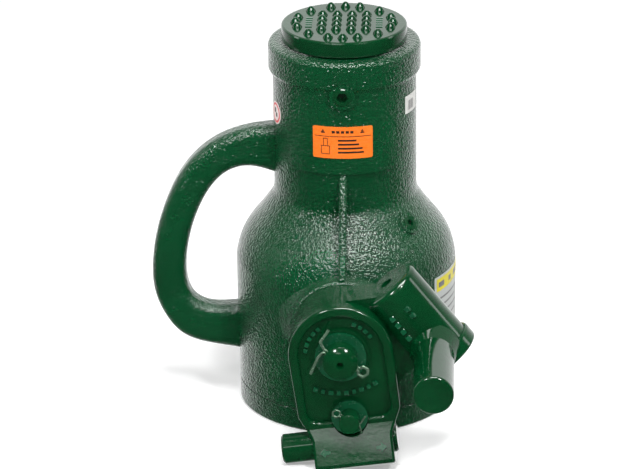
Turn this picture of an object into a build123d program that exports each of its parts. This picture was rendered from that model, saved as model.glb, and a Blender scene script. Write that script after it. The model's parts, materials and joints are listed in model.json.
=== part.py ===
from build123d import *
from math import acos, atan, cos, degrees, pi, radians, sin, sqrt, tan
import os

# Mechanical screw jack. Millimetres. Origin: centre of the base on the floor.
# +Z up, the ratchet head faces -Y and the carrying handle is on the -X side.

# ---- Overall sizes ----
BASE_R = 89.5
BASE_T = 18.5
BELL_R = 90.5
NECK_R = 58.5
COLLAR_R = 62.0
BODY_TOP = 311.5
LIFT = 140.0
LEAD = 6.0

# ---- Bevel drive and pinion axis ----
PINION_Z = 96.5
MODULE = 3.0
GEAR_TEETH = 36
PINION_TEETH = 12
PRESSURE_ANGLE = radians(20)
FACE_INNER = 0.7
BACKLASH = 0.12
SHAFT_R = 14.0
RUN = 0.06
SNOUT_FACE = 100.0
BUSH_IN = 68.0

# ---- Lift screw, thrust bearing and ram ----
RACE_R = 28.0
RACE_Z = 10.0
RACE_T = 5.0
BALL_R = 4.0
BALL_PITCH_R = 21.0
BALL_Z = 18.6
BALL_COUNT = 14
UPPER_RACE_Z = 22.2
SCREW_PILOT_R = 10.0
SCREW_SHANK_R = 15.0
SCREW_COLLAR_R = 22.0
SCREW_COLLAR_Z = 86.0
THREAD_R = 18.0
THREAD_ROOT_R = 15.4
THREAD_Z = 92.0
SCREW_TOP = 294.0
RAM_R = 32.0
RAM_Z = 100.0
RAM_TOP = 306.0
RAM_BORE_R = 20.0
NUT_R = 25.0
NUT_TOP = 150.0
KEYWAY_W = 12.0
KEYWAY_Y = 27.5
KEYWAY_Z = (135.0, 296.0)
BUSH_R = 38.0
BUSH_Z = (196.0, 300.0)
GUIDE_Z = 284.0
GUIDE_R = 7.5

# ---- Load cap ----
CAP_R = 51.0
CAP_Z = 312.3
CAP_T = 13.5
CAP_HUB_R = 31.0
SPIGOT_R = 16.0
SPIGOT_TOP = 320.0
DOG_Z = 310.5
DOG_R = 2.5
SPIKE_PROFILE = [(0, 0), (4.3, 0), (3.5, 1.9), (2.3, 3.4), (1.0, 4.3), (0, 4.3)]
SPIKE_PITCH = 12.0
SPIKE_RING_R = 39.5
SPIKE_RING_ANGLES = (0, 17.5, 45, 72.5)

# ---- Ratchet head, drawn with its block hanging straight down, then tilted ----
HEAD_TILT = 7.3
HEAD_BACK = 103.0
HEAD_FRONT = 150.0
HEAD_R = 42.0
WALL = 5.0
PLATE_T = 3.0
WHEEL_Y = (112.0, 132.0)
WHEEL_TIP_R = 28.0
WHEEL_ROOT_R = 23.5
WHEEL_TEETH = 12
RECESS_FLOOR = 146.0
RIM_W = 8.0
BOSS_FACE = 149.0
WASHER_T = 3.0
COTTER_Y = 156.0
SHAFT_COTTER_TURN = 30.0
PAWL_COTTER_TURN = 35.0
WIRE_GAP = 0.05
PAWL_Z = -53.0
PAWL_PIN_R = 7.0
PAWL_PIN_FRONT_R = 8.2
PAWL_PIN_STEP = 134.0
PAWL_PIN_END = 166.0
PAWL_Y = (116.0, 128.0)
BAR_Z = -78.0
BAR_Y = 143.0
BAR_R = 12.0
BAR_X = (-58.0, 35.5)
BAR_STROKE = 5.5
BLOCK_HALF_W = 32.4
BLOCK_BOTTOM = -93.0
SOCKET_ANGLE = -58.8
SOCKET_OFFSET = 60.0
SOCKET_Y = 121.0
SOCKET_R = 25.0
SOCKET_BORE_R = 16.6
SOCKET_SPAN = (-18.0, 62.0)
GRIP_R = 16.0
GRIP_ALONG = 44.0
GRIP_END = 231.0


# ---- Helpers ----
def polygon(points):
    return make_face(Polyline(*points, close=True))


def turned(points):
    """Solid of revolution about Z from (radius, height) corners."""
    return revolve(Plane.XZ * polygon(points), Axis.Z)


def forward(shape):
    """Turn a shape drawn about +Z so that it points along -Y."""
    return Rot(90, 0, 0) * shape


def prism(face, near, far):
    """Extrude a face drawn as (x, z) along -Y between two distances."""
    return extrude(Plane.XZ.offset(near) * face, amount=far - near)


def rod(radius, near, far, x=0.0, z=0.0):
    return prism(Pos(x, z) * Circle(radius), near, far)


def disc(radius, low, high, x=0.0, y=0.0):
    return extrude(Plane.XY.offset(low) * (Pos(x, y) * Circle(radius)), amount=high - low)


def tube(outer, inner, low, high):
    return disc(outer, low, high) - disc(inner, low - 1, high + 1)


def on_head(shape):
    """Move a shape from the head's own frame to the jack."""
    return Pos(0, 0, PINION_Z) * Rot(0, -HEAD_TILT, 0) * shape


def at_azimuth(shape, angle):
    """Turn a shape that faces -Y towards +X by an angle in degrees."""
    return Rot(0, 0, angle) * shape


def bent_wire(points, radius, bend):
    """Round wire along (x, z) points whose corners are rounded off."""
    path = FilletPolyline(*[(x, 0, z) for x, z in points], radius=bend)
    return sweep(Plane(origin=path @ 0, z_dir=path % 0) * Circle(radius), path=path)


def split_pin(reach, eye, radius, first_leg, second_leg):
    """Split pin along X: its eye beyond +reach, its two legs bent over beyond -reach."""
    gap = radius + WIRE_GAP
    loop = [(reach, gap), (reach + 0.35 * eye, eye), (reach + 1.5 * eye, eye), (reach + 2 * eye, 0),
            (reach + 1.5 * eye, -eye), (reach + 0.35 * eye, -eye), (reach, -gap)]
    return bent_wire(first_leg + loop + second_leg, radius, radius * 1.15)


# ---- Body casting ----
def bell_profile():
    shoulder = Spline(
        (BELL_R, 124), (89.3, 133), (86.6, 142), (82.0, 151), (75.4, 160), (68.2, 169), (62.0, 178),
        (NECK_R, 192), tangents=((0, 1), (0, 1)),
    )
    lower = Polyline((0, BASE_T), (BASE_R - 0.8, BASE_T), (BASE_R, BASE_T + 0.8), (BASE_R, 44), (BELL_R, 66),
                     (BELL_R, 124))
    upper = Polyline((NECK_R, 192), (NECK_R, 285.5), (60.5, 287), (COLLAR_R, 290), (COLLAR_R, 308.5),
                     (60.8, 310.8), (59, BODY_TOP), (0, BODY_TOP), (0, BASE_T))
    return make_face(Plane.XZ * (lower + shoulder + upper))


def cavity():
    return turned([
        (0, BASE_T - 1), (75, BASE_T - 1), (75, 36), (79, 42), (79, 120), (76.5, 134), (71, 148), (62, 160),
        (51, 171), (42, 182), (BUSH_R, BUSH_Z[0]), (BUSH_R, BUSH_Z[1]), (BUSH_R - 4, BUSH_Z[1]),
        (BUSH_R - 4, 302), (40, 302), (40, BODY_TOP + 1), (0, BODY_TOP + 1),
    ])


def snout():
    rim_r = HEAD_R + 1
    flare = Spline((67, 52), (58, 66), (48, 80), (rim_r, 92), tangents=((-0.5, 1), (0, 1)))
    rim = Polyline((rim_r, 92), (rim_r, SNOUT_FACE - 1.5), (rim_r - 1.5, SNOUT_FACE), (0, SNOUT_FACE),
                   (0, 52), (67, 52))
    return Pos(0, 0, PINION_Z) * forward(revolve(make_face(Plane.XZ * (flare + rim)), Axis.Z))


def carrying_handle():
    outer = [(-45, 240), (-80, 236.5), (-105, 227), (-121, 215), (-135, 198), (-147, 174), (-156, 146),
             (-160.3, 118), (-159, 92), (-151, 71), (-137, 54), (-115, 45.5), (-80, 39)]
    inner = [(-80, 80), (-100, 79.5), (-117, 81), (-127, 88), (-131.5, 99), (-132.5, 118), (-128.5, 143),
             (-120, 168), (-109, 187), (-96, 199), (-80, 203.5), (-64, 200.5), (-45, 194)]
    edge = Spline(*outer) + Line(outer[-1], inner[0]) + Spline(*inner) + Line(inner[-1], outer[0])
    bar = extrude(Plane.XZ * make_face(edge), amount=12.5, both=True)
    rims = bar.edges().filter_by(GeomType.BSPLINE)
    return fillet(rims, 8.5)


def front_rib():
    side = Plane.YZ * polygon([(-50, 216), (-58.5, 217), (-99, 141), (-99, 132), (-50, 132)])
    web = extrude(side, amount=3.2, both=True)
    crest = web.edges().filter_by(lambda e: abs(e.length - sqrt(40.5 ** 2 + 76 ** 2)) < 0.1)
    return fillet(crest, 2.2)


def front_pad():
    shell = tube(NECK_R + 2, NECK_R - 4, 217, 290)
    window = prism(Pos(0, 254) * RectangleRounded(87, 74, 7), 20, 80)
    return shell & window


def plug_plane(lift=0.0):
    azimuth = radians(50)
    rise = radians(38)
    outward = Vector(sin(azimuth) * cos(rise), -cos(azimuth) * cos(rise), sin(rise))
    centre = Vector(sin(azimuth) * 69, -cos(azimuth) * 69, 168.5)
    return Plane(origin=centre + outward * lift, z_dir=outward)


def screw_ring(count, radius, first=0.0):
    return [(radius * cos(radians(first + 360 / count * i)), radius * sin(radians(first + 360 / count * i)))
            for i in range(count)]


BASE_SCREWS = screw_ring(6, 82.0, 30.0)


def jack_body():
    shape = revolve(bell_profile(), Axis.Z) + snout() + carrying_handle() + front_rib() + front_pad()
    shape += rod(10.5, 50, 63.5, z=GUIDE_Z)
    shape += extrude(plug_plane(-8) * Circle(9), amount=9.5)
    shape -= cavity()
    shape += rod(27, BUSH_IN, 84, z=PINION_Z)
    shape -= rod(18, BUSH_IN - 5, SNOUT_FACE + 1, z=PINION_Z)
    shape -= rod(GUIDE_R, 30, 70, z=GUIDE_Z)
    shape -= extrude(plug_plane(-9) * Circle(6), amount=20)
    for x, y in BASE_SCREWS:
        shape -= disc(4, BASE_T - 1, 34, x, y)
    return shape


def base_plate():
    plate = turned([(0, 0), (BASE_R - 1.5, 0), (BASE_R, 1.5), (BASE_R, BASE_T - 0.8), (BASE_R - 0.8, BASE_T),
                    (0, BASE_T)])
    plate -= disc(RACE_R, RACE_Z, BASE_T + 1)
    plate -= disc(SCREW_PILOT_R + RUN, 4, RACE_Z + 1)
    for x, y in BASE_SCREWS:
        plate -= disc(4, -1, BASE_T + 1, x, y)
        plate -= disc(6.5, -1, 10, x, y)
    return plate


def base_plate_screws():
    screws = []
    for x, y in BASE_SCREWS:
        hex_key = extrude(Plane.XY.offset(1) * (Pos(x, y) * RegularPolygon(3.4, 6)), amount=5)
        screws.append(disc(6.5, 2, 10, x, y) - hex_key + disc(4, 10, 34, x, y))
    return Compound(children=screws)


def race(low, bore_r):
    ring = tube(RACE_R, bore_r, low, low + RACE_T)
    groove = Pos(0, 0, BALL_Z) * Torus(BALL_PITCH_R, BALL_R + 0.05)
    return ring - groove


def thrust_balls():
    ring = screw_ring(BALL_COUNT, BALL_PITCH_R)
    return Compound(children=[Pos(x, y, BALL_Z) * Sphere(BALL_R) for x, y in ring])


def thrust_cage():
    cage = tube(26.5, 15.6, BALL_Z - 2, BALL_Z + 2)
    for x, y in screw_ring(BALL_COUNT, BALL_PITCH_R):
        cage -= Pos(x, y, BALL_Z) * Sphere(BALL_R)
    return cage


def neck_bushing():
    return tube(BUSH_R, RAM_R + RUN, *BUSH_Z) - rod(GUIDE_R, 30, 70, z=GUIDE_Z)


def wiper_ring():
    return turned([(RAM_R + RUN, 302), (40, 302), (40, 309.5), (37, 309.5), (RAM_R + RUN, 308)])


def guide_screw():
    screw = rod(GUIDE_R, 36, 64.5, z=GUIDE_Z) + rod(KEYWAY_W / 2 - 0.3, KEYWAY_Y + 0.5, 36, z=GUIDE_Z)
    screw = chamfer(screw.edges().group_by(Axis.Y)[0], 0.8)
    return screw - prism(Pos(0, GUIDE_Z) * RegularPolygon(4.6, 6), 59, 66)


def grease_plug():
    plug = extrude(plug_plane(-8.5) * Circle(6), amount=10.6)
    return plug - extrude(plug_plane(-2) * RegularPolygon(3, 6), amount=5)


def pinion_bushing():
    return Pos(0, 0, PINION_Z) * forward(tube(18, SHAFT_R + RUN, BUSH_IN, SNOUT_FACE)
                                         + tube(24, SHAFT_R + RUN, SNOUT_FACE, SNOUT_FACE + 2.5))


# ---- Labels: thin skins on the casting ----
def label_skin(radius, window):
    return tube(radius + 0.3, radius, 40, 290) & window


def label_front():
    return label_skin(NECK_R + 2, prism(Pos(0, 244.5) * RectangleRounded(48, 27, 1.5), 20, 80))


def label_round():
    return label_skin(NECK_R, at_azimuth(rod(9.5, 20, 80, z=255.5), -70))


def label_small():
    return label_skin(NECK_R, at_azimuth(prism(Pos(0, 265.5) * RectangleRounded(22, 15, 1), 20, 80), 69))


def label_side():
    return label_skin(BELL_R, at_azimuth(prism(Pos(0, 98) * RectangleRounded(66, 50, 2), 40, 110), 76))


# ---- Lift screw group ----
def thread_ridge():
    depth = THREAD_R - THREAD_ROOT_R
    path = Helix(LEAD, SCREW_TOP - THREAD_Z - 14, THREAD_ROOT_R)
    start = path ^ 0
    flank = polygon([(-0.4, -2.1), (depth, -1.2), (depth, 1.2), (-0.4, 2.1)])
    section = Plane(origin=start.position, x_dir=(1, 0, 0), z_dir=start.z_axis.direction) * flank
    return Pos(0, 0, THREAD_Z + 6) * sweep(section, path=path, is_frenet=True)


def lift_screw():
    core = turned([
        (0, 5), (SCREW_PILOT_R - 1, 5), (SCREW_PILOT_R, 6), (SCREW_PILOT_R, UPPER_RACE_Z),
        (SCREW_SHANK_R, UPPER_RACE_Z), (SCREW_SHANK_R, SCREW_COLLAR_Z), (SCREW_COLLAR_R, SCREW_COLLAR_Z),
        (SCREW_COLLAR_R, THREAD_Z), (THREAD_ROOT_R, THREAD_Z), (THREAD_ROOT_R, SCREW_TOP - 2),
        (THREAD_ROOT_R - 2, SCREW_TOP), (0, SCREW_TOP),
    ])
    return core + thread_ridge() - key_block()


def key_block():
    return Pos(SCREW_SHANK_R, 0, 60) * Box(8, 8, 40)


def gear_key():
    return key_block()


# ---- Straight bevel teeth ----
def involute(angle):
    return tan(angle) - angle


def tooth_wire(teeth, mate, addendum, dedendum, thickness, scale):
    """Tooth section square to the pitch line, seen from the cone's apex at the origin."""
    pitch_r = MODULE * teeth / 2
    cone = atan(teeth / mate)
    length = pitch_r / sin(cone)
    back_r = pitch_r / cos(cone)
    base_r = back_r * cos(PRESSURE_ANGLE)
    low = back_r - dedendum - 0.6
    high = back_r + addendum
    flank_low = max(base_r, back_r - dedendum)

    def half_angle(radius):
        turn = acos(min(1.0, base_r / max(radius, base_r)))
        return thickness / (2 * back_r) + involute(PRESSURE_ANGLE) - involute(turn)

    def point(radius, side):
        swing = side * half_angle(radius) / cos(cone)
        rho = radius * cos(cone)
        spot = Vector(rho * cos(swing), rho * sin(swing), length / cos(cone) - radius * sin(cone))
        reach = spot.X * sin(cone) + spot.Z * cos(cone)
        return spot * (length / reach * scale)

    radii = [flank_low + (high - flank_low) * i / 5 for i in range(6)]
    right = [point(r, 1) for r in radii]
    left = [point(r, -1) for r in radii]
    foot_right = point(low, 1)
    foot_left = point(low, -1)
    return Wire([
        Edge.make_line(foot_left, foot_right), Edge.make_line(foot_right, right[0]), Edge.make_spline(right),
        Edge.make_line(right[-1], left[-1]), Edge.make_spline(left[::-1]), Edge.make_line(left[0], foot_left),
    ])


def bevel_teeth(teeth, mate, addendum, dedendum, shift):
    thickness = MODULE * (pi / 2 + 2 * shift * tan(PRESSURE_ANGLE)) - BACKLASH
    ends = [tooth_wire(teeth, mate, addendum, dedendum, thickness, s) for s in (FACE_INNER, 1.0)]
    tooth = Solid.make_loft(ends, True)
    return [Rot(0, 0, 360 / teeth * i) * tooth for i in range(teeth)]


def cone_point(teeth, mate, height, scale=1.0):
    """(radius, distance from apex) of a point above or below the pitch line."""
    pitch_r = MODULE * teeth / 2
    cone = atan(teeth / mate)
    return (scale * (pitch_r + height * cos(cone)), scale * (pitch_r / tan(cone) - height * sin(cone)))


def bevel_gear():
    root = -1.6 * MODULE
    inner = cone_point(GEAR_TEETH, PINION_TEETH, root, FACE_INNER)
    outer = cone_point(GEAR_TEETH, PINION_TEETH, root)
    back = cone_point(GEAR_TEETH, PINION_TEETH, root - 8)
    top = PINION_Z - SCREW_COLLAR_Z
    bottom = PINION_Z - UPPER_RACE_Z - RACE_T
    blank = turned([
        (SCREW_SHANK_R, top), (26, top), (28, 12.5), (33, 16.5), inner, outer, back, (30, 33), (26, 37),
        (26, bottom), (SCREW_SHANK_R, bottom),
    ])
    teeth = bevel_teeth(GEAR_TEETH, PINION_TEETH, 0.6 * MODULE, 1.6 * MODULE, -0.4)
    return Pos(0, 0, PINION_Z) * Rot(180, 0, 0) * blank.fuse(*teeth) - key_block()


def bevel_pinion():
    root = -0.8 * MODULE
    inner = cone_point(PINION_TEETH, GEAR_TEETH, root, FACE_INNER)
    outer = cone_point(PINION_TEETH, GEAR_TEETH, root)
    blank = turned([(9, inner[1]), inner, outer, (15, outer[1] + 2.5), (15, 66), (9, 66)])
    teeth = bevel_teeth(PINION_TEETH, GEAR_TEETH, 1.4 * MODULE, 0.8 * MODULE, 0.4)
    gear = Rot(0, 0, 180 / PINION_TEETH) * blank.fuse(*teeth)
    return Pos(0, 0, PINION_Z) * forward(gear) - pinion_pin()


def pinion_pin():
    return Pos(0, -61.5, PINION_Z) * Rot(0, 90, 0) * Cylinder(2.5, 29)


def pinion_shaft():
    dome = ThreePointArc((SHAFT_R, 163.5), (9.6, 166.7), (0, 168))
    outline = Polyline((0, 168), (0, 36), (8, 36), (9, 37), (9, 66), (SHAFT_R, 66), (SHAFT_R, 163.5))
    shaft = revolve(make_face(Plane.XZ * (outline + dome)), Axis.Z)
    shaft -= Pos(0, 0, 166.5) * Cone(1.2, 3.4, 5)
    shaft = Pos(0, 0, PINION_Z) * forward(shaft) - pinion_pin() - ratchet_key()
    return shaft - shaft_cotter_hole()


def shaft_cotter_hole():
    return Pos(0, -COTTER_Y, PINION_Z) * Rot(0, SHAFT_COTTER_TURN + 90, 0) * Cylinder(2.6, 40)


def ratchet_wheel():
    blank = Circle(WHEEL_ROOT_R)
    foot = WHEEL_ROOT_R - 2
    tooth = polygon([(-3.8, foot), (-2.6, WHEEL_TIP_R), (2.6, WHEEL_TIP_R), (3.8, foot)])
    for i in range(WHEEL_TEETH):
        blank += Rot(0, 0, 360 / WHEEL_TEETH * i) * tooth
    wheel = prism(blank - Circle(SHAFT_R), *WHEEL_Y)
    return on_head(wheel) - ratchet_key()


def ratchet_key():
    return on_head(Pos(0, -sum(WHEEL_Y) / 2, SHAFT_R) * Box(6, 18, 6))


def shaft_washer():
    return Pos(0, 0, PINION_Z) * forward(tube(20.5, SHAFT_R, BOSS_FACE + 0.3, BOSS_FACE + 0.3 + WASHER_T))


def shaft_cotter():
    first_leg = [(-20.7, 17.4), (-21.4, 5.0), (-15.5, 1.25)]
    second_leg = [(-15.0, -1.25), (-16.5, -7.0), (-14.6, -22.7)]
    pin = split_pin(17, 3.9, 1.2, first_leg, second_leg)
    return Pos(0, -COTTER_Y, PINION_Z) * Rot(0, SHAFT_COTTER_TURN, 0) * pin


# ---- Ram group ----
def ram():
    groove = DOG_R + 0.3
    tube_ = turned([
        (NUT_R, RAM_Z), (RAM_R - 1.5, RAM_Z), (RAM_R, RAM_Z + 1.5), (RAM_R, RAM_TOP - 1.5),
        (RAM_R - 1.5, RAM_TOP), (SPIGOT_R, RAM_TOP), (SPIGOT_R, DOG_Z - groove), (13, DOG_Z - groove),
        (13, DOG_Z + groove), (SPIGOT_R, DOG_Z + groove), (SPIGOT_R, SPIGOT_TOP - 1.5),
        (SPIGOT_R - 1.5, SPIGOT_TOP), (0, SPIGOT_TOP), (0, 298), (RAM_BORE_R, 298), (RAM_BORE_R, NUT_TOP),
        (NUT_R, NUT_TOP),
    ])
    low, high = KEYWAY_Z
    slot = Pos(0, (low + high) / 2) * SlotOverall(high - low, KEYWAY_W, rotation=90)
    return tube_ - prism(slot, KEYWAY_Y, RAM_R + 2) - nut_lock_screws()


def lift_nut():
    return tube(NUT_R, THREAD_R + RUN, RAM_Z, NUT_TOP) - nut_lock_screws()


def nut_lock_screws():
    return Compound(children=[
        Pos(side * 27.5, 0, 110) * Rot(0, 90, 0) * Cylinder(3, 8) for side in (-1, 1)
    ])


# ---- Load cap ----
def spike_spots():
    grid = [(SPIKE_PITCH * (i - 1.5), SPIKE_PITCH * (j - 1.5)) for i in range(4) for j in range(4)]
    ring = []
    for quarter in range(4):
        for angle in SPIKE_RING_ANGLES:
            turn = radians(angle + 90 * quarter)
            ring.append((SPIKE_RING_R * cos(turn), SPIKE_RING_R * sin(turn)))
    return grid + ring


def load_cap():
    top = CAP_Z + CAP_T
    cap = turned([
        (SPIGOT_R + RUN, RAM_TOP + 0.4), (CAP_HUB_R, RAM_TOP + 0.4), (CAP_HUB_R, CAP_Z), (CAP_R - 1, CAP_Z),
        (CAP_R, CAP_Z + 1), (CAP_R, top - 1.6), (CAP_R - 0.5, top - 0.5), (CAP_R - 1.6, top), (0, top),
        (0, SPIGOT_TOP + 0.4), (SPIGOT_R + RUN, SPIGOT_TOP + 0.4),
    ])
    spike = turned(SPIKE_PROFILE)
    spikes = [Pos(x, y, top) * spike for x, y in spike_spots()]
    return cap.fuse(*spikes) - cap_dog_screws()


def cap_dog_screws():
    return Compound(children=[
        Pos(side * 21.9, 0, DOG_Z) * Rot(0, 90, 0) * Cylinder(DOG_R, 17.2) for side in (-1, 1)
    ])


# ---- Ratchet head ----
def head_outline():
    flank = HEAD_R - 0.8
    corners = polygon([
        (HEAD_R, 0), (flank, -50), (BLOCK_HALF_W, -70), (BLOCK_HALF_W, BLOCK_BOTTOM),
        (-BLOCK_HALF_W, BLOCK_BOTTOM), (-BLOCK_HALF_W, -70), (-flank, -50), (-HEAD_R, 0),
    ])
    face = Circle(HEAD_R) + corners
    waist = face.vertices().filter_by(lambda v: -71 < v.Y < -49)
    return fillet(waist, 9)


def socket_axis(along):
    angle = radians(SOCKET_ANGLE)
    centre = (SOCKET_OFFSET * cos(angle + pi / 2), SOCKET_OFFSET * sin(angle + pi / 2))
    return (centre[0] + along * cos(angle), centre[1] + along * sin(angle))


def along_socket(radius, start, end):
    x, z = socket_axis(start)
    angle = radians(SOCKET_ANGLE)
    plane = Plane(origin=(x, -SOCKET_Y, z), z_dir=(cos(angle), 0, sin(angle)))
    return extrude(plane * Circle(radius), amount=end - start)


def socket_tube():
    start, end = SOCKET_SPAN
    barrel = along_socket(SOCKET_R, start, end - 8)
    barrel = fillet(barrel.edges().filter_by(GeomType.CIRCLE).sort_by(Axis.Z)[-1], 5)
    lip = along_socket(SOCKET_R + 2.5, end - 12, end)
    return barrel + fillet(lip.edges().filter_by(GeomType.CIRCLE), 2.2)


def head_web():
    face = polygon([(0, 0), (6, 41.4), (34, 42), (42, 46), (72, 0), (60, -20), (50, -25), (43, -33),
                    (40.5, -48), (0, -48)])
    return prism(face, HEAD_BACK + PLATE_T + 1, SOCKET_Y + 16)


def block_front():
    side = Plane.YZ * polygon([
        (-140, -58), (0.5 - HEAD_FRONT, -60), (-155, -69), (-165, -87), (-164.3, -90.5),
        (-160.5, BLOCK_BOTTOM), (-140, BLOCK_BOTTOM),
    ])
    front = extrude(side, amount=HEAD_R, both=True) & prism(head_outline(), 135, 170)
    edges = front.edges().filter_by(lambda e: e.center().Y < -151 and abs(e.center().X) > BLOCK_HALF_W - 1)
    return fillet(edges, 2.2)


def head_chamber():
    room = HEAD_R - WALL
    wheel_room = Circle(room) + polygon([
        (room, 0), (room - 0.8, -48), (20, -64), (-20, -64), (0.8 - room, -48), (-room, 0),
    ])
    tail_room = Pos(0, -74) * Rectangle(31, 24)
    solid_front = prism(Pos(0, -95) * Rectangle(80, 60), 129.5, 140)
    return prism(wheel_room + tail_room, HEAD_BACK - 1, 138) - solid_front


BACK_SCREWS = [(0, 39.5), (-39.5, -10), (39.5, -30), (25, -87), (-25, -87)]
BACK_SCREW_R = 1.5
BACK_SCREW_HEAD_R = 2.4


def front_recess():
    face = Circle(HEAD_R - RIM_W) + Pos(0, -28) * Rectangle(2 * (HEAD_R - RIM_W), 56)
    return fillet(face.vertices().group_by(Axis.Y)[0], 10)


def ratchet_case():
    shell = prism(head_outline(), HEAD_BACK + PLATE_T, HEAD_FRONT)
    shell -= prism(front_recess(), RECESS_FLOOR, HEAD_FRONT + 1)
    shell = fillet(shell.edges().group_by(Axis.Y)[0], 2.5)
    case = shell + block_front() + head_web() + socket_tube()
    case += rod(23, RECESS_FLOOR - 1, BOSS_FACE) + rod(15, RECESS_FLOOR - 1, BOSS_FACE, z=PAWL_Z)
    case -= rod(15.5, BOSS_FACE, 170, z=PAWL_Z)
    case -= head_chamber()
    case -= prism(Pos(0, BAR_Z) * Rectangle(26, 15), 128, BAR_Y)
    case -= Pos(0, -BAR_Y, BAR_Z) * Rot(0, 90, 0) * Cylinder(BAR_R + RUN, 200)
    case -= rod(SHAFT_R + RUN, 100, 160)
    case -= rod(PAWL_PIN_FRONT_R, 130, 160, z=PAWL_Z)
    case -= along_socket(SOCKET_BORE_R, 0, SOCKET_SPAN[1] + 1)
    case -= along_socket(5.5, SOCKET_SPAN[0] - 1, 1)
    case -= rod(3.2, 100, 133, x=22, z=BAR_Z)
    for x, z in BACK_SCREWS:
        case -= rod(BACK_SCREW_R, 100, 118, x, z)
    return on_head(case)


def case_back_plate():
    plate = prism(head_outline(), HEAD_BACK, HEAD_BACK + PLATE_T)
    plate -= rod(SHAFT_R + RUN, 100, 110)
    for x, z in BACK_SCREWS:
        plate -= rod(BACK_SCREW_R, 100, 110, x, z)
        plate -= rod(BACK_SCREW_HEAD_R, 100, HEAD_BACK + 1.8, x, z)
    return on_head(plate - socket_tube())


def back_plate_screws():
    under_head = HEAD_BACK + 1.8
    return Compound(children=[
        on_head(rod(BACK_SCREW_HEAD_R, HEAD_BACK, under_head, x, z)
                + rod(BACK_SCREW_R, under_head, 118, x, z))
        for x, z in BACK_SCREWS
    ])


def crank_grip():
    x, z = socket_axis(GRIP_ALONG)
    root = SOCKET_Y + SOCKET_R - 6
    grip = rod(GRIP_R, root, GRIP_END, x, z)
    grip = fillet(grip.edges().group_by(Axis.Y)[0], 2.5)
    flare = Pos(x, -(root + 7), z) * forward(Cone(GRIP_R + 5, GRIP_R, 14))
    return on_head(grip + flare - socket_tube() - head_web())


def pawl_pin():
    pin = rod(PAWL_PIN_R, HEAD_BACK + PLATE_T, PAWL_PIN_STEP, z=PAWL_Z)
    pin += rod(PAWL_PIN_FRONT_R, PAWL_PIN_STEP, PAWL_PIN_END, z=PAWL_Z)
    pin = chamfer(pin.edges().group_by(Axis.Y)[0], 1)
    return on_head(pin - pawl_cotter_hole())


def pawl_cotter_hole():
    return Pos(0, -COTTER_Y, PAWL_Z) * Rot(0, PAWL_COTTER_TURN + 90, 0) * Cylinder(1.9, 20)


def pawl_washer():
    washer = rod(14.5, BOSS_FACE, BOSS_FACE + 2.5, z=PAWL_Z)
    return on_head(washer - rod(PAWL_PIN_FRONT_R, 140, 160, z=PAWL_Z))


def pawl_cotter():
    pin = split_pin(9, 2.9, 0.8, [(-13.4, 5), (-9.6, 0.85)], [(-9.2, -0.85), (-9.8, -9)])
    return on_head(Pos(0, -COTTER_Y, PAWL_Z) * Rot(0, PAWL_COTTER_TURN + 180, 0) * pin)


def pawl_swing():
    return degrees(atan(BAR_STROKE / (PAWL_Z - BAR_Z)))


def horn(side):
    """One prong, drawn in mesh with the wheel and then turned back to its neutral place."""
    prong = Rot(0, 0, -45) * polygon([(24.4, -1.9), (32.5, -2.4), (32.5, 2.4), (24.4, 1.9)])
    arm = polygon([(-2, PAWL_Z + 8), (20.5, -23.5), (24.5, -24.5), (4, PAWL_Z - 8)])
    place = Pos(0, PAWL_Z) * Rot(0, 0, -pawl_swing()) * Pos(0, -PAWL_Z)
    shape = place * (prong + arm)
    return shape if side > 0 else mirror(shape, Plane.YZ)


def pawl():
    tail = polygon([(-5.5, PAWL_Z), (-4.4, BAR_Z), (4.4, BAR_Z), (5.5, PAWL_Z)]) + Pos(0, BAR_Z) * Circle(4.4)
    plate = Pos(0, PAWL_Z) * Circle(10) + horn(1) + horn(-1) + tail
    shape = prism(plate - Pos(0, PAWL_Z) * Circle(PAWL_PIN_R + RUN), *PAWL_Y)
    return on_head(shape + rod(4, PAWL_Y[1] - 1, 138.5, z=BAR_Z))


def reversing_bar():
    low, high = BAR_X
    bar = Pos((low + high) / 2, -BAR_Y, BAR_Z) * Rot(0, 90, 0) * Cylinder(BAR_R, high - low)
    bar = chamfer(bar.edges().filter_by(GeomType.CIRCLE), 1.5)
    bar -= prism(Pos(0, BAR_Z) * Rectangle(9, 30), 125, 139.5)
    bar -= prism(Pos(22, BAR_Z) * SlotOverall(2 * BAR_STROKE + 6.8, 6.8), 125, 132.5)
    for step in (-BAR_STROKE, 0, BAR_STROKE):
        bar -= Pos(22 + step, -129.4, BAR_Z) * Sphere(3.6)
    return on_head(bar)


def detent_ball():
    return on_head(Pos(22, -129.2, BAR_Z) * Sphere(3))


def detent_spring():
    wire = Plane(origin=(2.2, 0, 0), z_dir=(0, 1, 0)) * Circle(0.5)
    coil = sweep(wire, path=Helix(2.4, 12, 2.2), is_frenet=True)
    return on_head(Pos(22, -113.5, BAR_Z) * forward(coil))


def detent_plug():
    return on_head(rod(3.2, HEAD_BACK + PLATE_T, 112, x=22, z=BAR_Z))


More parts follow.
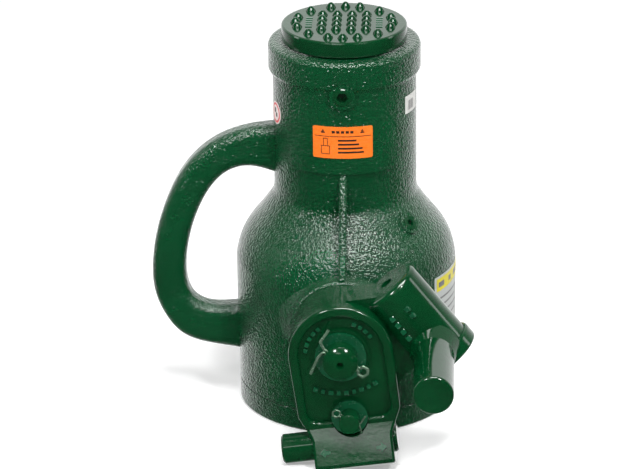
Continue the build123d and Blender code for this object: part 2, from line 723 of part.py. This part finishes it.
NODES = {
    "jack_body": jack_body,
    "base_plate": base_plate,
    "base_plate_screws": base_plate_screws,
    "lower_race": lambda: race(RACE_Z, 12),
    "neck_bushing": neck_bushing,
    "wiper_ring": wiper_ring,
    "guide_screw": guide_screw,
    "grease_plug": grease_plug,
    "pinion_bushing": pinion_bushing,
    "label_front": label_front,
    "label_round": label_round,
    "label_small": label_small,
    "label_side": label_side,
    "upper_race": lambda: race(UPPER_RACE_Z, SCREW_SHANK_R),
    "lift_screw": lift_screw,
    "bevel_gear": bevel_gear,
    "gear_key": gear_key,
    "thrust_cage": thrust_cage,
    "thrust_balls": thrust_balls,
    "ram": ram,
    "lift_nut": lift_nut,
    "nut_lock_screws": nut_lock_screws,
    "load_cap": load_cap,
    "cap_dog_screws": cap_dog_screws,
    "pinion_shaft": pinion_shaft,
    "bevel_pinion": bevel_pinion,
    "pinion_pin": pinion_pin,
    "ratchet_wheel": ratchet_wheel,
    "ratchet_key": ratchet_key,
    "shaft_washer": shaft_washer,
    "shaft_cotter": shaft_cotter,
    "ratchet_case": ratchet_case,
    "case_back_plate": case_back_plate,
    "back_plate_screws": back_plate_screws,
    "crank_grip": crank_grip,
    "pawl_pin": pawl_pin,
    "pawl_washer": pawl_washer,
    "pawl_cotter": pawl_cotter,
    "detent_ball": detent_ball,
    "detent_spring": detent_spring,
    "detent_plug": detent_plug,
    "reversing_bar": reversing_bar,
    "pawl": pawl,
}

os.makedirs("parts", exist_ok=True)
for name, build in NODES.items():
    export_step(build(), f"parts/{name}.step")
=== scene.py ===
import json
from math import atan2, cos, pi, radians, sin

import bmesh
import bpy
from mathutils import Matrix, Vector


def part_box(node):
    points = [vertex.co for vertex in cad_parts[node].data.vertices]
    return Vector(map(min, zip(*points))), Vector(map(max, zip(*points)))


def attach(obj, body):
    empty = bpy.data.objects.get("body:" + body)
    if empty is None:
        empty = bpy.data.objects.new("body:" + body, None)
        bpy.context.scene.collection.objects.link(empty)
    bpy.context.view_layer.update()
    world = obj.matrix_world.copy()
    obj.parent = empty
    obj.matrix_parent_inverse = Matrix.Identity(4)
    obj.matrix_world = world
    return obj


MM = 0.001

# ---- Sizes that part.py fixes, in metres ----
PINION_Z = 96.5 * MM
HEAD_TILT = radians(7.3)
RECESS_FLOOR = 146 * MM
SOCKET_ANGLE = radians(-58.8)
SOCKET_OFFSET = 60 * MM
SOCKET_Y = 121 * MM
SOCKET_R = 25 * MM
PAD_R = 60.5 * MM
NECK_R = 58.5 * MM
BELL_R = 90.5 * MM
SKIN = 0.3 * MM
SPIKE_H = 4.3 * MM

# ---- Printing: the radii of the label faces, and where each label's print goes ----
PAD_FACE = PAD_R + SKIN
NECK_FACE = NECK_R + SKIN
BELL_FACE = BELL_R + SKIN
PRINT_T = 0.08 * MM
PRINT_STEP = 2 * MM
RING_STEPS = 48
FRONT_LABEL_TOP = 258 * MM
ROUND_LABEL_AZIMUTH = radians(-70)
ROUND_LABEL_Z = 255.5 * MM
SMALL_LABEL_AZIMUTH = radians(69)
SMALL_LABEL_Z = 264.5 * MM
SIDE_BAND_AZIMUTH = radians(76)
SIDE_BAND_Z = 115.5 * MM
SIDE_ROWS_AZIMUTH = radians(70)

# ---- Raised marks ----
DASH_DEPTH = 3.2 * MM
DASH_BEVEL = 0.9 * MM
UPPER_ARC_R = 28.5 * MM
UPPER_ARC_DEGREES = (28, 39, 50, 61, 122, 133, 144, 155, 166)
LOWER_ARC_R = 54 * MM
LOWER_ARC_Z = 21 * MM
ARROW_X = 22 * MM
ARROW_Y = -160.2 * MM
ARROW_Z = -78 * MM
ARROW_SLOPE = atan2(10, 18)
ARROW_OUTLINE = ((-3.5, -1.5), (0.5, -1.5), (0.5, -4), (5.5, 0), (0.5, 4), (0.5, 1.5), (-3.5, 1.5))
CAP_DASH_X = 28.5 * MM

# ---- Camera, fitted to the object's own round edges ----
CAM_AZIMUTH = radians(2.4)
CAM_ELEVATION = radians(22.1)
CAM_DISTANCE = 3.2
CAM_LENS = 222.8
CAM_SENSOR = 36
CAM_ROLL = radians(-0.67)
CAM_AIM_RIGHT = -0.0276
CAM_AIM_UP = 0.1409

# Most of a noise texture's values lie between these two.
NOISE_LOW = 0.3
NOISE_HIGH = 0.7

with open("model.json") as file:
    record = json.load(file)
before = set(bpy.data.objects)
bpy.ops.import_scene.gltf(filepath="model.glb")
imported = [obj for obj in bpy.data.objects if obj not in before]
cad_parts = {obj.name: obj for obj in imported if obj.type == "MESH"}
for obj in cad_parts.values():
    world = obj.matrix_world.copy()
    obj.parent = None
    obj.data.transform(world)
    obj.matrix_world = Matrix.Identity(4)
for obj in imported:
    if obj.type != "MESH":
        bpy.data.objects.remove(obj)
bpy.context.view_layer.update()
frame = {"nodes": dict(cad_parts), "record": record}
nodes = frame["nodes"]


# ---- Materials ----
class Recipe:
    """A Principled material and its node tree, with short calls for adding nodes."""

    def __init__(self, name):
        self.mat = bpy.data.materials.new(name)
        self.mat.use_nodes = True
        self.tree = self.mat.node_tree
        self.shader = self.tree.nodes["Principled BSDF"]
        self.place = self.node("ShaderNodeTexCoord").outputs["Object"]

    def node(self, kind, **settings):
        made = self.tree.nodes.new(kind)
        for key, value in settings.items():
            setattr(made, key, value)
        return made

    def link(self, source, target):
        self.tree.links.new(source, target)

    def feed(self, source, socket):
        self.link(source, self.shader.inputs[socket])

    def noise(self, scale, detail):
        made = self.node("ShaderNodeTexNoise")
        made.inputs["Scale"].default_value = scale
        made.inputs["Detail"].default_value = detail
        made.inputs["Roughness"].default_value = 0.5
        self.link(self.place, made.inputs["Vector"])
        return made.outputs["Fac"]

    def cells(self, scale):
        made = self.node("ShaderNodeTexVoronoi", feature="SMOOTH_F1")
        made.inputs["Scale"].default_value = scale
        made.inputs["Smoothness"].default_value = 0.6
        self.link(self.place, made.inputs["Vector"])
        return made.outputs["Distance"]

    def ramp(self, source, low, high, low_at=NOISE_LOW, high_at=NOISE_HIGH):
        made = self.node("ShaderNodeMapRange")
        made.inputs["From Min"].default_value = low_at
        made.inputs["From Max"].default_value = high_at
        made.inputs["To Min"].default_value = low
        made.inputs["To Max"].default_value = high
        self.link(source, made.inputs["Value"])
        return made.outputs["Result"]

    def blend(self, source, first, second):
        made = self.node("ShaderNodeMix", data_type="RGBA")
        made.inputs["A"].default_value = (*first, 1)
        made.inputs["B"].default_value = (*second, 1)
        self.link(source, made.inputs["Factor"])
        return made.outputs["Result"]

    def bump(self, source, distance, strength, under=None):
        made = self.node("ShaderNodeBump")
        made.inputs["Distance"].default_value = distance
        made.inputs["Strength"].default_value = strength
        self.link(source, made.inputs["Height"])
        if under is not None:
            self.link(under, made.inputs["Normal"])
        return made.outputs["Normal"]

    def set(self, **values):
        for key, value in values.items():
            self.shader.inputs[key.replace("_", " ")].default_value = value


def cast_enamel():
    """Thick gloss enamel over a rough sand casting."""
    r = Recipe("enamel_cast")
    r.set(Specular_IOR_Level=0.35, Coat_Weight=0.8, Coat_Roughness=0.03)
    tone = r.ramp(r.noise(14, 4), 0.0, 1.0)
    r.feed(r.blend(tone, (0.0004, 0.036, 0.0105), (0.0008, 0.052, 0.0155)), "Base Color")
    r.feed(r.ramp(r.noise(60, 3), 0.09, 0.2), "Roughness")
    swell = r.bump(r.noise(30, 2), 0.0012, 0.5)
    grain = r.bump(r.noise(430, 2), 0.0011, 1.0, swell)
    pits = r.bump(r.cells(620), 0.0006, 1.0, grain)
    r.feed(pits, "Normal")
    r.feed(pits, "Coat Normal")
    return r.mat


def smooth_enamel():
    """Gloss enamel over smooth steel and fine castings, with a little orange peel."""
    r = Recipe("enamel_smooth")
    r.set(Specular_IOR_Level=0.4, Coat_Weight=0.5, Coat_Roughness=0.04)
    tone = r.ramp(r.noise(22, 4), 0.0, 1.0)
    r.feed(r.blend(tone, (0.0003, 0.029, 0.0075), (0.0005, 0.040, 0.011)), "Base Color")
    r.feed(r.ramp(r.noise(90, 3), 0.1, 0.2), "Roughness")
    swell = r.bump(r.noise(30, 2), 0.0004, 0.4)
    r.feed(r.bump(r.noise(260, 2), 0.0002, 0.4, swell), "Normal")
    return r.mat


def painted_glint_enamel():
    """Paler enamel on raised marks and washers: a painted highlight standing in for their glints and
    bright rims.
    """
    r = Recipe("enamel_painted_glint")
    r.set(Coat_Weight=0.8, Coat_Roughness=0.05)
    r.feed(r.blend(r.noise(200, 3), (0.001, 0.052, 0.018), (0.003, 0.078, 0.032)), "Base Color")
    r.feed(r.ramp(r.noise(300, 3), 0.15, 0.3), "Roughness")
    r.feed(r.bump(r.noise(500, 2), 0.0003, 0.6), "Normal")
    return r.mat


def thin_enamel():
    """A thin coat of green over bright wire, worn through to the metal in places."""
    r = Recipe("enamel_on_wire")
    r.set(Metallic=0.7)
    r.feed(r.blend(r.noise(260, 3), (0.06, 0.16, 0.08), (0.3, 0.42, 0.32)), "Base Color")
    r.feed(r.ramp(r.noise(300, 3), 0.15, 0.3), "Roughness")
    r.feed(r.bump(r.noise(500, 2), 0.0001, 0.4), "Normal")
    return r.mat


def machined(name, dark, light, rough):
    """Turned or ground metal with fine tool marks and an oily sheen."""
    r = Recipe(name)
    r.set(Metallic=1.0)
    r.feed(r.blend(r.noise(120, 4), dark, light), "Base Color")
    r.feed(r.ramp(r.noise(300, 3), rough - 0.08, rough + 0.1), "Roughness")
    r.feed(r.bump(r.noise(900, 2), 0.0001, 0.4), "Normal")
    return r.mat


def vinyl(name, first, second):
    """Printed vinyl that follows the rough casting under it."""
    r = Recipe(name)
    r.set(Coat_Weight=0.15, Coat_Roughness=0.15, Specular_IOR_Level=0.35)
    r.feed(r.blend(r.noise(180, 3), first, second), "Base Color")
    r.feed(r.ramp(r.noise(250, 2), 0.28, 0.42), "Roughness")
    r.feed(r.bump(r.noise(260, 2), 0.00035, 0.6), "Normal")
    return r.mat


def rubber():
    r = Recipe("seal_rubber")
    r.feed(r.blend(r.noise(400, 4), (0.012, 0.012, 0.012), (0.03, 0.03, 0.03)), "Base Color")
    r.feed(r.ramp(r.noise(500, 3), 0.6, 0.8, 0.0, 1.0), "Roughness")
    r.feed(r.bump(r.noise(1200, 2), 0.0001, 0.5), "Normal")
    return r.mat


LOOKS = {
    "green_cast": cast_enamel(),
    "green_smooth": smooth_enamel(),
    "steel": machined("oiled_steel", (0.28, 0.28, 0.29), (0.46, 0.46, 0.47), 0.3),
    "bronze": machined("bronze", (0.42, 0.26, 0.1), (0.6, 0.4, 0.18), 0.32),
    "seal": rubber(),
    "label_orange": vinyl("vinyl_orange", (0.74, 0.13, 0.001), (0.8, 0.16, 0.002)),
    "label_white": vinyl("vinyl_white", (0.72, 0.62, 0.6), (0.8, 0.7, 0.68)),
    "label_grey": vinyl("vinyl_grey", (0.5, 0.5, 0.48), (0.58, 0.58, 0.55)),
    "label_yellow": vinyl("vinyl_pale", (0.36, 0.38, 0.37), (0.42, 0.44, 0.42)),
}
WIRE = thin_enamel()
# Paler enamel is a painted highlight: it stands in for the glints on raised marks and the bright rims of
# the washers.
PAINTED_GLINT = painted_glint_enamel()
OWN_LOOKS = {"shaft_cotter": WIRE, "pawl_cotter": WIRE, "shaft_washer": PAINTED_GLINT, "pawl_washer": PAINTED_GLINT}
INK_BLACK = vinyl("ink_black", (0.02, 0.012, 0.008), (0.035, 0.02, 0.012))
INK_RED = vinyl("ink_red", (0.6, 0.04, 0.05), (0.7, 0.06, 0.07))
INK_YELLOW = vinyl("ink_yellow", (0.55, 0.48, 0.01), (0.62, 0.54, 0.02))
INK_GREY = vinyl("ink_grey", (0.12, 0.12, 0.12), (0.18, 0.18, 0.18))

slot_of = {part["node"]: part["material_slot"] for part in frame["record"]["subparts"]}
for name, node in nodes.items():
    node.data.materials.clear()
    node.data.materials.append(OWN_LOOKS.get(name, LOOKS[slot_of[name]]))


# ---- Mesh pieces ----
def add_piece(name, bm, material, body):
    bmesh.ops.recalc_face_normals(bm, faces=bm.faces)
    mesh = bpy.data.meshes.new(name)
    bm.to_mesh(mesh)
    bm.free()
    mesh.materials.append(material)
    piece = bpy.data.objects.new(name, mesh)
    bpy.context.scene.collection.objects.link(piece)
    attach(piece, body)


def head_matrix():
    return Matrix.Translation((0, 0, PINION_Z)) @ Matrix.Rotation(-HEAD_TILT, 4, "Y")


def add_block(bm, matrix, size, bevel):
    """A bevelled bar of that size, centred at the matrix."""
    made = bmesh.ops.create_cube(bm, size=1, matrix=matrix @ Matrix.Diagonal((*size, 1)))
    edges = list({edge for vert in made["verts"] for edge in vert.link_edges})
    bmesh.ops.bevel(bm, geom=edges, offset=bevel, segments=2, affect="EDGES", profile=0.6)


def add_slab(bm, outline, matrix, thickness, bevel):
    """A flat plate from (x, y) corners, raised along the matrix's local Z, bevelled on top."""
    low = [bm.verts.new(matrix @ Vector((x, y, 0))) for x, y in outline]
    high = [bm.verts.new(matrix @ Vector((x, y, thickness))) for x, y in outline]
    bm.faces.new(low[::-1])
    top = bm.faces.new(high)
    for i in range(len(outline)):
        j = (i + 1) % len(outline)
        bm.faces.new((low[i], low[j], high[j], high[i]))
    bmesh.ops.bevel(bm, geom=list(top.edges), offset=bevel, segments=2, affect="EDGES")


def add_print(bm, radius, azimuth, z, width, height):
    """A thin printed rectangle wrapped on a vertical cylinder.

    It is centred at an azimuth measured from -Y towards +X.
    """
    steps = max(1, round(width / PRINT_STEP))
    rows = []
    for level in (z - height / 2, z + height / 2):
        for depth in (radius, radius + PRINT_T):
            row = []
            for i in range(steps + 1):
                turn = azimuth + (i / steps - 0.5) * width / radius
                row.append(bm.verts.new((depth * sin(turn), -depth * cos(turn), level)))
            rows.append(row)
    low_in, low_out, high_in, high_out = rows
    for i in range(steps):
        bm.faces.new((low_out[i], low_out[i + 1], high_out[i + 1], high_out[i]))
        bm.faces.new((low_in[i], high_in[i], high_in[i + 1], low_in[i + 1]))
        bm.faces.new((low_in[i], low_in[i + 1], low_out[i + 1], low_out[i]))
        bm.faces.new((high_in[i], high_out[i], high_out[i + 1], high_in[i + 1]))
    for i in (0, steps):
        bm.faces.new((low_in[i], low_out[i], high_out[i], high_in[i]))


def add_ring_print(bm, radius, azimuth, z, inner, outer):
    """A thin printed ring wrapped on a vertical cylinder."""
    loops = []
    for size in (inner, outer):
        for depth in (radius, radius + PRINT_T):
            loop = []
            for i in range(RING_STEPS):
                swing = 2 * pi * i / RING_STEPS
                turn = azimuth + size * cos(swing) / radius
                loop.append(bm.verts.new((depth * sin(turn), -depth * cos(turn), z + size * sin(swing))))
            loops.append(loop)
    in_low, in_high, out_low, out_high = loops
    for i in range(RING_STEPS):
        j = (i + 1) % RING_STEPS
        bm.faces.new((in_high[i], in_high[j], out_high[j], out_high[i]))
        bm.faces.new((in_low[i], out_low[i], out_low[j], in_low[j]))
        bm.faces.new((out_low[i], out_high[i], out_high[j], out_low[j]))
        bm.faces.new((in_low[i], in_low[j], in_high[j], in_high[i]))


def front_label_print():
    """Generic bars and a plain stepped outline in place of the printed notice."""
    bm = bmesh.new()

    def bar(x, down, width, height):
        """A bar in mm: x from the label's middle, down from its top."""
        azimuth = x * MM / PAD_FACE
        add_print(bm, PAD_FACE, azimuth, FRONT_LABEL_TOP - down * MM, width * MM, height * MM)

    bar(0, 8.2, 46, 0.5)
    for x in (-7.5, -3.8, 0, 3.8, 7.5):
        bar(x, 4.4, 2.6, 2.2)
    for x in (-16, 16):
        bar(x, 5.0, 3.2, 1.0)
        bar(x, 3.9, 2.0, 0.9)
        bar(x, 2.9, 0.9, 0.8)
    for down, width in ((11.6, 15), (15.0, 17), (18.4, 20), (21.8, 21)):
        bar(3.2 + width / 2 - 7, down, width, 1.5)
    for x in (-15.6, -12.4):
        bar(x, 13.2, 0.5, 6.5)
    bar(-14, 10.1, 3.7, 0.5)
    bar(-17.6, 16.4, 0.5, 0.5)
    bar(-14, 16.4, 8, 0.5)
    for x in (-17.4, -10.6):
        bar(x, 20, 0.5, 6.4)
    bar(-14, 23.2, 7.3, 0.5)
    add_piece("front_label_print", bm, INK_BLACK, "base")


def round_label_print():
    bm = bmesh.new()
    add_ring_print(bm, NECK_FACE, ROUND_LABEL_AZIMUTH, ROUND_LABEL_Z, 6.6 * MM, 8.4 * MM)
    add_piece("round_label_ring", bm, INK_RED, "base")
    bm = bmesh.new()
    for x, z, width, height in ((-1.5, 257.5, 4, 4.2), (1.6, 254.2, 3.4, 3.6)):
        azimuth = ROUND_LABEL_AZIMUTH + x * MM / NECK_FACE
        add_print(bm, NECK_FACE, azimuth, z * MM, width * MM, height * MM)
    add_piece("round_label_mark", bm, INK_BLACK, "base")


def small_label_print():
    bm = bmesh.new()
    for i in range(7):
        azimuth = SMALL_LABEL_AZIMUTH + (i - 4.5) * 1.5 * MM / NECK_FACE
        add_print(bm, NECK_FACE, azimuth, SMALL_LABEL_Z, (0.5 + 0.3 * (i % 3)) * MM, 8 * MM)
    add_piece("small_label_print", bm, INK_GREY, "base")


def side_label_print():
    bm = bmesh.new()
    add_print(bm, BELL_FACE, SIDE_BAND_AZIMUTH, SIDE_BAND_Z, 62 * MM, 11 * MM)
    add_piece("side_label_band", bm, INK_YELLOW, "base")
    bm = bmesh.new()
    for i, width in enumerate((9, 5, 11, 7)):
        add_print(bm, BELL_FACE + PRINT_T, radians(61 + 10 * i), SIDE_BAND_Z, width * MM, 4.5 * MM)
    for row in range(4):
        width = (40 - 5 * (row % 2)) * MM
        add_print(bm, BELL_FACE, SIDE_ROWS_AZIMUTH, (103 - 6.5 * row) * MM, width, 1.6 * MM)
    add_piece("side_label_print", bm, INK_GREY, "base")


def add_case_dashes(bm, place):
    """Two arcs of dashes on the floor of the ratchet case's recess."""

    def dash(angle, radius, z, length, width):
        spot = Vector((radius * cos(angle), -RECESS_FLOOR - 0.4 * MM, z + radius * sin(angle)))
        matrix = place @ Matrix.Translation(spot) @ Matrix.Rotation(-(angle + pi / 2), 4, "Y")
        add_block(bm, matrix, (length, DASH_DEPTH, width), DASH_BEVEL)

    for i, turn in enumerate(UPPER_ARC_DEGREES):
        dash(radians(turn), UPPER_ARC_R, 0, (3.4 + 0.6 * (i % 2)) * MM, 3.6 * MM)
    for i in range(9):
        turn = radians(270 + 6.6 * (i - 4))
        dash(turn, LOWER_ARC_R, LOWER_ARC_Z, (4.2 - 0.9 * (i % 2)) * MM, 4.0 * MM)


def add_socket_dashes(bm, place):
    """Two rows of dashes along the front of the lever socket's tube."""
    along = Vector((cos(SOCKET_ANGLE), 0, sin(SOCKET_ANGLE)))
    across = Vector((-sin(SOCKET_ANGLE), 0, cos(SOCKET_ANGLE)))
    for lift, count in ((-9, 4), (6, 2)):
        offset = lift * MM
        depth = (SOCKET_R ** 2 - offset ** 2) ** 0.5
        turn = Matrix.Rotation(-SOCKET_ANGLE, 4, "Y") @ Matrix.Rotation(offset / SOCKET_R, 4, "X")
        for i in range(count):
            spot = across * (SOCKET_OFFSET + offset) + along * (2 + 7 * i) * MM
            spot += Vector((0, -SOCKET_Y - depth, 0))
            matrix = place @ Matrix.Translation(spot) @ turn
            add_block(bm, matrix, (4.4 * MM, DASH_DEPTH, 4.6 * MM), DASH_BEVEL)


def add_bar_arrows(bm, place):
    """Two arrows on the block's sloping face, one towards each end of the reversing bar."""
    tilt = Matrix.Rotation(pi / 2 - ARROW_SLOPE, 4, "X")
    for side in (-1, 1):
        centre = Vector((side * ARROW_X, ARROW_Y, ARROW_Z))
        arrow = [(side * x * MM, y * MM) for x, y in ARROW_OUTLINE]
        add_slab(bm, arrow, place @ Matrix.Translation(centre) @ tilt, 0.8 * MM, 0.25 * MM)


def raised_marks():
    """Plain raised dashes where the casting carries lettering, and two arrows for the reversing bar."""
    place = head_matrix()
    bm = bmesh.new()
    add_case_dashes(bm, place)
    add_socket_dashes(bm, place)
    add_bar_arrows(bm, place)
    # The marks use paler enamel as a painted highlight for their glints.
    add_piece("head_raised_marks", bm, PAINTED_GLINT, "head")


def cap_marks():
    """Plain raised dashes on the load cap, where the casting carries lettering."""
    bm = bmesh.new()
    _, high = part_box("load_cap")
    top = high.z - SPIKE_H
    for side in (-1, 1):
        for i in range(5):
            y = (i - 2) * 5.2 * MM
            matrix = Matrix.Translation((side * CAP_DASH_X, y, top))
            add_block(bm, matrix, (5.5 * MM, 3.2 * MM, 1.2 * MM), 0.25 * MM)
    # The marks use paler enamel as a painted highlight for their glints.
    add_piece("cap_raised_marks", bm, PAINTED_GLINT, "cap")


front_label_print()
round_label_print()
small_label_print()
side_label_print()
raised_marks()
cap_marks()


# ---- Studio ----
def floor():
    """White paper that gives a little light of its own and is not mirrored in the enamel."""
    bm = bmesh.new()
    bmesh.ops.create_grid(bm, x_segments=1, y_segments=1, size=6)
    mesh = bpy.data.meshes.new("floor")
    bm.to_mesh(mesh)
    bm.free()
    r = Recipe("floor_paper")
    r.feed(r.blend(r.noise(3, 2), (0.86, 0.86, 0.86), (0.88, 0.88, 0.88)), "Base Color")
    r.set(Roughness=0.9, Specular_IOR_Level=0.1, Emission_Color=(1, 1, 1, 1), Emission_Strength=0.33)
    mesh.materials.append(r.mat)
    plane = bpy.data.objects.new("floor", mesh)
    plane.visible_glossy = False
    bpy.context.scene.collection.objects.link(plane)


def softbox(name, spot, aim, width, height, power):
    data = bpy.data.lights.new(name, "AREA")
    data.shape = "RECTANGLE"
    data.size = width
    data.size_y = height
    data.energy = power
    lamp = bpy.data.objects.new(name, data)
    lamp.location = spot
    lamp.rotation_euler = (Vector(aim) - Vector(spot)).to_track_quat("-Z", "Y").to_euler()
    bpy.context.scene.collection.objects.link(lamp)


def studio_world():
    """Bright behind, dark overhead and on the camera's side, like a lit product table."""
    world = bpy.data.worlds.new("studio")
    world.use_nodes = True
    tree = world.node_tree
    background = tree.nodes["Background"]
    coords = tree.nodes.new("ShaderNodeTexCoord")
    split = tree.nodes.new("ShaderNodeSeparateXYZ")
    ramp = tree.nodes.new("ShaderNodeMapRange")
    tree.links.new(coords.outputs["Generated"], split.inputs["Vector"])
    tree.links.new(split.outputs["Y"], ramp.inputs["Value"])
    ramp.inputs["From Min"].default_value = 0.2
    ramp.inputs["From Max"].default_value = 0.9
    ramp.inputs["To Min"].default_value = 0.05
    ramp.inputs["To Max"].default_value = 1.0
    tree.links.new(ramp.outputs["Result"], background.inputs["Strength"])
    background.inputs["Color"].default_value = (1, 1, 1, 1)
    bpy.context.scene.world = world


def camera():
    level = cos(CAM_ELEVATION)
    back = Vector((sin(CAM_AZIMUTH) * level, -cos(CAM_AZIMUTH) * level, sin(CAM_ELEVATION)))
    right = Vector((cos(CAM_AZIMUTH), sin(CAM_AZIMUTH), 0))
    up = back.cross(right)
    spot = right * CAM_AIM_RIGHT + Vector((0, 0, CAM_AIM_UP)) + back * CAM_DISTANCE
    x_axis = right * cos(CAM_ROLL) + up * sin(CAM_ROLL)
    y_axis = up * cos(CAM_ROLL) - right * sin(CAM_ROLL)
    data = bpy.data.cameras.new("camera")
    data.lens = CAM_LENS
    data.sensor_width = CAM_SENSOR
    data.clip_end = 50
    view = bpy.data.objects.new("camera", data)
    axes = Matrix((x_axis, y_axis, back)).transposed().to_4x4()
    view.matrix_world = Matrix.Translation(spot) @ axes
    bpy.context.scene.collection.objects.link(view)
    bpy.context.scene.camera = view


floor()
softbox("overhead", (0.1, -0.45, 1.6), (0, 0, 0.1), 0.8, 0.6, 24)
softbox("front_left", (-0.9, -1.4, 1.6), (0, 0, 0.15), 0.2, 0.4, 16)
softbox("front_right", (0.9, -1.4, 1.6), (0, 0, 0.15), 0.2, 0.4, 24)
softbox("front_card", (-0.37, -2.0, 1.33), (0, -0.16, 0.02), 0.8, 0.22, 1.8)
softbox("side_left", (-1.4, 0.1, 0.6), (0, 0, 0.15), 0.25, 0.9, 2)
softbox("side_right", (1.5, 0.1, 0.7), (0, 0, 0.15), 0.25, 0.9, 2)
studio_world()
camera()
bpy.context.scene.view_settings.view_transform = "Standard"
